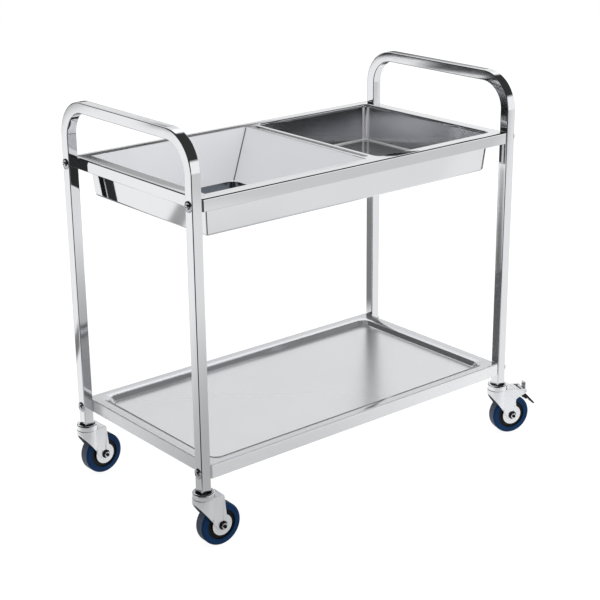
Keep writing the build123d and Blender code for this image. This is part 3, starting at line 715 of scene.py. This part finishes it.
def tray_top():
    bm = bmesh.new()
    skirt = rounded_line([(HEM, -TRAY_SKIRT), (0, -TRAY_SKIRT), (0, 0), (16, 0)], [1.2, 4])
    edge = press(bm, skirt, TRAY_LENGTH, TRAY_WIDTH, TRAY_TOP, [(0, 6.0), (4, 2.5), (16, 4.0)])[-1]

    lip = rounded_line([(-8, 0), (0, 0), (0, -LIP)], [4])[1:]
    corners = [(-8, BASIN_CORNER + 8), (0, BASIN_CORNER)]
    basin_window = press(bm, lip, BASIN_LENGTH, WINDOW, TRAY_TOP, corners, centre=(BASIN_X, 0))[0]

    # The groove has round ends: a corner radius of just under half its width.
    slot = rounded_line([(-3, 0), (0, 0), (0, -GROOVE_DEPTH), (5, -GROOVE_DEPTH)], [0.8, 1.2])[1:]
    corners = [(inset, GROOVE_WIDTH / 2 - inset - 0.01) for inset in (-3, 5)]
    groove = press(bm, slot, GROOVE_WIDTH, GROOVE_LENGTH, TRAY_TOP, corners, centre=(GROOVE_X, 0))
    bm.faces.new(groove[-1])

    window = ring(FUNNEL_LENGTH, WINDOW, 0.3, TRAY_TOP, centre=(FUNNEL_X, 0), steps=2)
    funnel_window = [bm.verts.new(Vector(point) / 1000) for point in window]
    fill(bm, edge, basin_window, groove[0], funnel_window)
    return settle(bm, "folded_tray_top", bright_sheet, "cart", sheet_mm=SHEET, outwards=(0, 0, 1))


tray = tray_top()
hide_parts("tray_top")
print("tray top:", [round(value, 4) for value in tray.dimensions])

# %% [markdown]
# ## Dish basin
#
# A deep tub drawn from one sheet: the walls lean in by 8 mm over their height, meet the floor in a 5 mm bend, and
# the upright corners keep the radius of the window. It is again a profile turned into rings. The corners and the
# bend get a lighter matt finish as a painted highlight, the floor that of a worn polish, picked by the way each face
# looks.

# %% Dish basin
BASIN_DEPTH, BASIN_DRAFT = 92.0, 8.0


def dish_basin():
    profile = [(0, -8), (BASIN_DRAFT, -BASIN_DEPTH), (70, -BASIN_DEPTH)]
    line = rounded_line(profile, [5], steps=8)
    corners = [(0, BASIN_CORNER), (BASIN_DRAFT, BASIN_CORNER), (13, 9.5), (70, 6.0)]
    bm = bmesh.new()
    loops = press(bm, line, BASIN_LENGTH, WINDOW, TRAY_TOP, corners, centre=(BASIN_X, 0), steps=12)
    bm.faces.new(loops[-1])
    bm.normal_update()
    for face in bm.faces:
        turn, lift = min(abs(face.normal.x), abs(face.normal.y)), abs(face.normal.z)
        # Index 1, the upright corners and the floor bend, carries the painted highlight; index 2 is the floor.
        face.material_index = 2 if lift >= 0.9 else int(lift > 0.2 or 0.15 < turn < 0.5)
    piece = settle(bm, "drawn_basin", polished_basin, "cart", sheet_mm=SHEET, outwards=(0, 0, 1))
    piece.data.materials.append(painted_highlight_basin)
    piece.data.materials.append(worn_basin)
    return piece


basin = dish_basin()
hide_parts("dish_basin")
print("basin:", [round(value, 4) for value in basin.dimensions])

# %% [markdown]
# ## Waste funnel
#
# Four flat plates lead down to a chute with rounded corners. They are welded at the corners and the seams are ground
# down to a fine bead, coloured dark grey as painted shade of the folds. The folds are sharp but not knife sharp: a
# Bevel modifier rounds them by a millimetre and a half. The chute is coloured dark slate blue as painted shade inside
# the hole.

# %% Waste funnel
NECK_LENGTH, NECK_WIDTH, NECK_CORNER = 190.0, 210.0, 22.0
FUNNEL_DEPTH, CHUTE_DEPTH = 91.77, 109.0
SEAM_TOP, SEAM_BOTTOM, SEAM_RADIUS, SEAM_TIP = 2.4, 91.5, 1.3, 0.3
QUARTERS = ((1, -1), (1, 1), (-1, 1), (-1, -1))


def waste_funnel():
    mouth_z, outlet_z, chute_z = TRAY_TOP - SHEET, TRAY_TOP - FUNNEL_DEPTH, TRAY_TOP - CHUTE_DEPTH
    bm = bmesh.new()

    def corners_at(length, width, z):
        return [bm.verts.new(Vector((FUNNEL_X + sx * length / 2, sy * width / 2, z)) / 1000) for sx, sy in QUARTERS]

    mouth = corners_at(FUNNEL_LENGTH, WINDOW, mouth_z)
    outlet = corners_at(NECK_LENGTH, NECK_WIDTH, outlet_z)
    neck = [ring(NECK_LENGTH, NECK_WIDTH, NECK_CORNER, z, centre=(FUNNEL_X, 0)) for z in (outlet_z, chute_z)]
    top = wrap(bm, neck)[0]
    # The chute's faces take its painted shade.
    for face in bm.faces:
        face.material_index = 1
    per_corner = len(top) // 4
    for i in range(4):
        arc = top[i * per_corner : (i + 1) * per_corner]
        bm.faces.new([outlet[i]] + arc)
        next_start = top[(i + 1) * per_corner % len(top)]
        j = (i + 1) % 4
        bm.faces.new((mouth[i], mouth[j], outlet[j], next_start, arc[-1], outlet[i]))
    piece = settle(
        bm, "folded_funnel", ground_funnel, "cart", sheet_mm=SHEET, soften_mm=1.5, sharp=20
    )
    piece.data.materials.append(painted_shade_chute)
    return piece


def weld_seams():
    """A thin bead down each corner of the funnel, from the mouth to the chute."""
    bm = bmesh.new()
    spokes = [math.radians(30 * step) for step in range(12)]
    for side_x, side_y in QUARTERS:
        high = Vector((FUNNEL_X + side_x * (FUNNEL_LENGTH / 2 - 2), side_y * (WINDOW / 2 - 2), TRAY_TOP - SEAM_TOP))
        low = Vector((FUNNEL_X + side_x * NECK_LENGTH / 2, side_y * NECK_WIDTH / 2, TRAY_TOP - SEAM_BOTTOM))
        run = (low - high).normalized()
        across = run.cross(Vector((0, 0, 1))).normalized()
        over = across.cross(run)
        rings = []
        ends = ((high, SEAM_TIP), (high + run, SEAM_RADIUS), (low - run, SEAM_RADIUS), (low, SEAM_TIP))
        for end, radius in ends:
            rings.append([end + across * radius * math.cos(a) + over * radius * math.sin(a) for a in spokes])
        loops = wrap(bm, rings)
        bm.faces.new(loops[0])
        bm.faces.new(loops[-1])
    # The beads' dark grey is painted shade of the folds.
    return settle(bm, "funnel_weld_seams", painted_shade_weld, "cart")


weld_seams()
funnel = waste_funnel()
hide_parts("waste_funnel")
print("funnel:", [round(value, 4) for value in funnel.dimensions])

# %% [markdown]
# ## Tray casing
#
# The box below the rim hides the funnel and the basin. Its walls lean in, its right corners follow the basin and
# its left corners are nearly square, and the chute comes through a hole in its floor.

# %% Tray casing
CASING_LENGTH, CASING_WIDTH, CASING_DEPTH = 846.8, 446.8, 94.0
CHUTE_PLAY = 1.1


def tray_casing():
    line = rounded_line([(0, -1.5), (8, -CASING_DEPTH), (40, -CASING_DEPTH)], [6])
    right = [(0, 17.4), (8, 17.4), (14, 12.0), (40, 8.0)]
    left = [(0, 3.5), (8, 3.5), (14, 2.5), (40, 2.0)]
    bm = bmesh.new()
    floor_edge = press(bm, line, CASING_LENGTH, CASING_WIDTH, TRAY_TOP, right, left)[-1]
    hole = ring(
        NECK_LENGTH + 2 * CHUTE_PLAY,
        NECK_WIDTH + 2 * CHUTE_PLAY,
        NECK_CORNER + CHUTE_PLAY,
        TRAY_TOP - CASING_DEPTH,
        centre=(FUNNEL_X, 0),
    )
    fill(bm, floor_edge, [bm.verts.new(Vector(point) / 1000) for point in hole])
    return settle(bm, "welded_casing", bright_sheet, "cart", sheet_mm=SHEET, outwards=(0, 0, -1))


casing = tray_casing()
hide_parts("tray_casing")
print("casing:", [round(value, 4) for value in casing.dimensions])

# %% [markdown]
# ## Casters
#
# Every caster is the same, except that the right-hand ones have a brake. A caster's own frame has its swivel axis
# at the origin and its wheel trailing along +X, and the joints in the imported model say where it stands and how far
# it has swung.

# %% Where the casters stand
CORNERS = ("front_left", "rear_left", "front_right", "rear_right")
joints = {joint["name"]: joint for joint in frame["joints"]}
caster_place, wheel_place = {}, {}
for corner in CORNERS:
    swivel = Vector(joints[corner + "_swivel"]["pos_m"])
    axle = Vector(joints[corner + "_roll"]["pos_m"])
    axis = joints[corner + "_roll"]["axis"]
    swing = Matrix.Rotation(math.atan2(-axis[0], axis[1]), 4, "Z")
    caster_place[corner] = Matrix.Translation((swivel.x, swivel.y, 0)) @ swing
    wheel_place[corner] = Matrix.Translation(axle) @ swing @ Matrix.Rotation(math.radians(90), 4, "X")
    print(corner, "swung by", round(math.degrees(math.atan2(-axis[0], axis[1])), 1), "degrees")

# %% [markdown]
# ### Wheels
#
# A wheel is turned: half a section, spun about the axle. A cylinder with bevels would do for the outline, but a drawn
# section also holds the small things: the tyre's rounded shoulders, a fine ring moulded into each side, the thin line
# where the two halves of the mould met, and the sunk face and raised rim of the core.

# %% Turned pieces
def turned(name, profile, finish, body, place, turns=96):
    """A closed profile of (radius, height), spun about its own Z axis."""
    rings = []
    for turn in range(turns):
        angle = 2 * math.pi * turn / turns
        rings.append([(r * math.cos(angle), r * math.sin(angle), h) for r, h in profile])
    rings.append(rings[0])
    bm = bmesh.new()
    wrap(bm, rings)
    return settle(bm, name, finish, body, place=place)


def both_sides(half):
    """A wheel's section from one half of it, mirrored across the middle."""
    return half + [(r, -h) for r, h in reversed(half) if h]


tyre_half = [(35.5, 0), (35.5, 15), (38.5, 15), (39.0, 14.6), (40.0, 14.6), (40.5, 15), (45, 15)]
tyre_half += rounded_line([(44, 15), (50, 15), (50, 0.5)], [5], steps=8)[1:] + [(49.8, 0.2), (49.8, 0)]
core_half = [(10.05, 0), (10.05, 15)]
core_half += rounded_line([(10.05, 15), (17.5, 15), (18.5, 12), (33, 12)], [1.0, 1.5])[1:]
core_half += [(33.4, 12.6), (35.0, 12.6), (35.45, 12.0), (35.45, 0)]
for corner in CORNERS:
    body, place = corner + "_wheel", wheel_place[corner]
    piece = turned(corner + "_tyre_rubber", both_sides(tyre_half), navy_rubber, body, place)
    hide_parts(corner + "_tyre")
    piece = turned(corner + "_moulded_core", both_sides(core_half), black_core, body, place)
    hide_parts(corner + "_wheel_core")
print("points in the sections of tyre and core:", len(both_sides(tyre_half)), len(both_sides(core_half)))

# %% [markdown]
# ### Swivel heads
#
# The cap over the ball race is a turned pressing with a fat rolled edge. A black disc lies in its top round the foot
# of the leg, as painted shade in the dished top. Below, the riveted kingpin holds the fork. Cap and kingpin are one
# profile, spun like the wheels.

# %% Swivel heads
bead = [(18.0, 132.9), (18.3, 135.2), (20.5, 136.2), (25, 136.2), (25, 122), (22.5, 122)]
kingpin = [(22.5, 131), (6, 131), (6, 118), (10, 118), (10, 115.8), (9, 115), (0, 115)]
head_profile = [(0, 132.9)] + rounded_line(bead, [0.6, 1.0, 3.6, 1.4]) + kingpin
shade_disc_profile = rounded_line([(0, 134), (16.8, 134), (17.9, 133.2), (17.9, 132.9)], [0.9, 0.04]) + [(0, 132.9)]
for corner in CORNERS:
    place = caster_place[corner]
    piece = turned(corner + "_swivel_cap", head_profile, zinc_cap, "cart", place)
    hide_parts(corner + "_swivel_head")
    # A black disc as painted shade in the cap's dished top.
    turned(corner + "_painted_shade_disc", shade_disc_profile, black_core, "cart", place)
print("swivel head:", [round(value, 4) for value in piece.dimensions])

# %% [markdown]
# ## CAD pieces that stay
#
# The forks, axles, brakes and bolts already have their true shape. They only need their finishes and edges that
# catch the light: a Weld modifier joins the vertices that the CAD export split, a Bevel rounds the edges by a few
# tenths of a millimetre as tumbling and plating do, and weighted normals keep the flats flat.

# %% Finishes for the CAD pieces
def dress(node, finish, soften_mm=0.0):
    piece = nodes[node]
    if not piece.material_slots:
        piece.data.materials.append(finish)
    for slot in piece.material_slots:
        slot.material = finish
    if soften_mm:
        join = piece.modifiers.new("joined_vertices", "WELD")
        join.merge_threshold = 0.00001
        soft = piece.modifiers.new("tumbled_edges", "BEVEL")
        soft.width = soften_mm / 1000
        soft.segments = 2
        soft.limit_method = "ANGLE"
        soft.angle_limit = math.radians(35)
        even = piece.modifiers.new("flat_faces_stay_flat", "WEIGHTED_NORMAL")
        even.keep_sharp = True


dress("shelf_rib", bright_sheet)
dress("frame_bolts", bright_fastener)
# The washers' darker grey is painted shade.
dress("frame_washers", painted_shade_washer)
dress("frame_nuts", bright_fastener)
dress("leg_inserts", nylon_socket)
for corner in CORNERS:
    dress(corner + "_ball_ring", bearing_ball)
    dress(corner + "_fork", zinc_fork, 0.7)
    dress(corner + "_thread_guards", zinc_guard, 0.5)
    dress(corner + "_axle", black_phosphate, 0.3)
    dress(corner + "_axle_washers", black_phosphate, 0.3)
    dress(corner + "_axle_nut", zinc_nut, 0.4)
    dress(corner + "_wheel_bearing", nylon_bearing)
for corner in CORNERS[2:]:
    dress(corner + "_brake_lever", zinc_brake, 0.4)
    dress(corner + "_brake_pedal", black_pedal, 0.8)
    dress(corner + "_brake_pin", zinc_nut, 0.3)
print("dressed CAD nodes:", sum(1 for piece in nodes.values() if piece.material_slots))
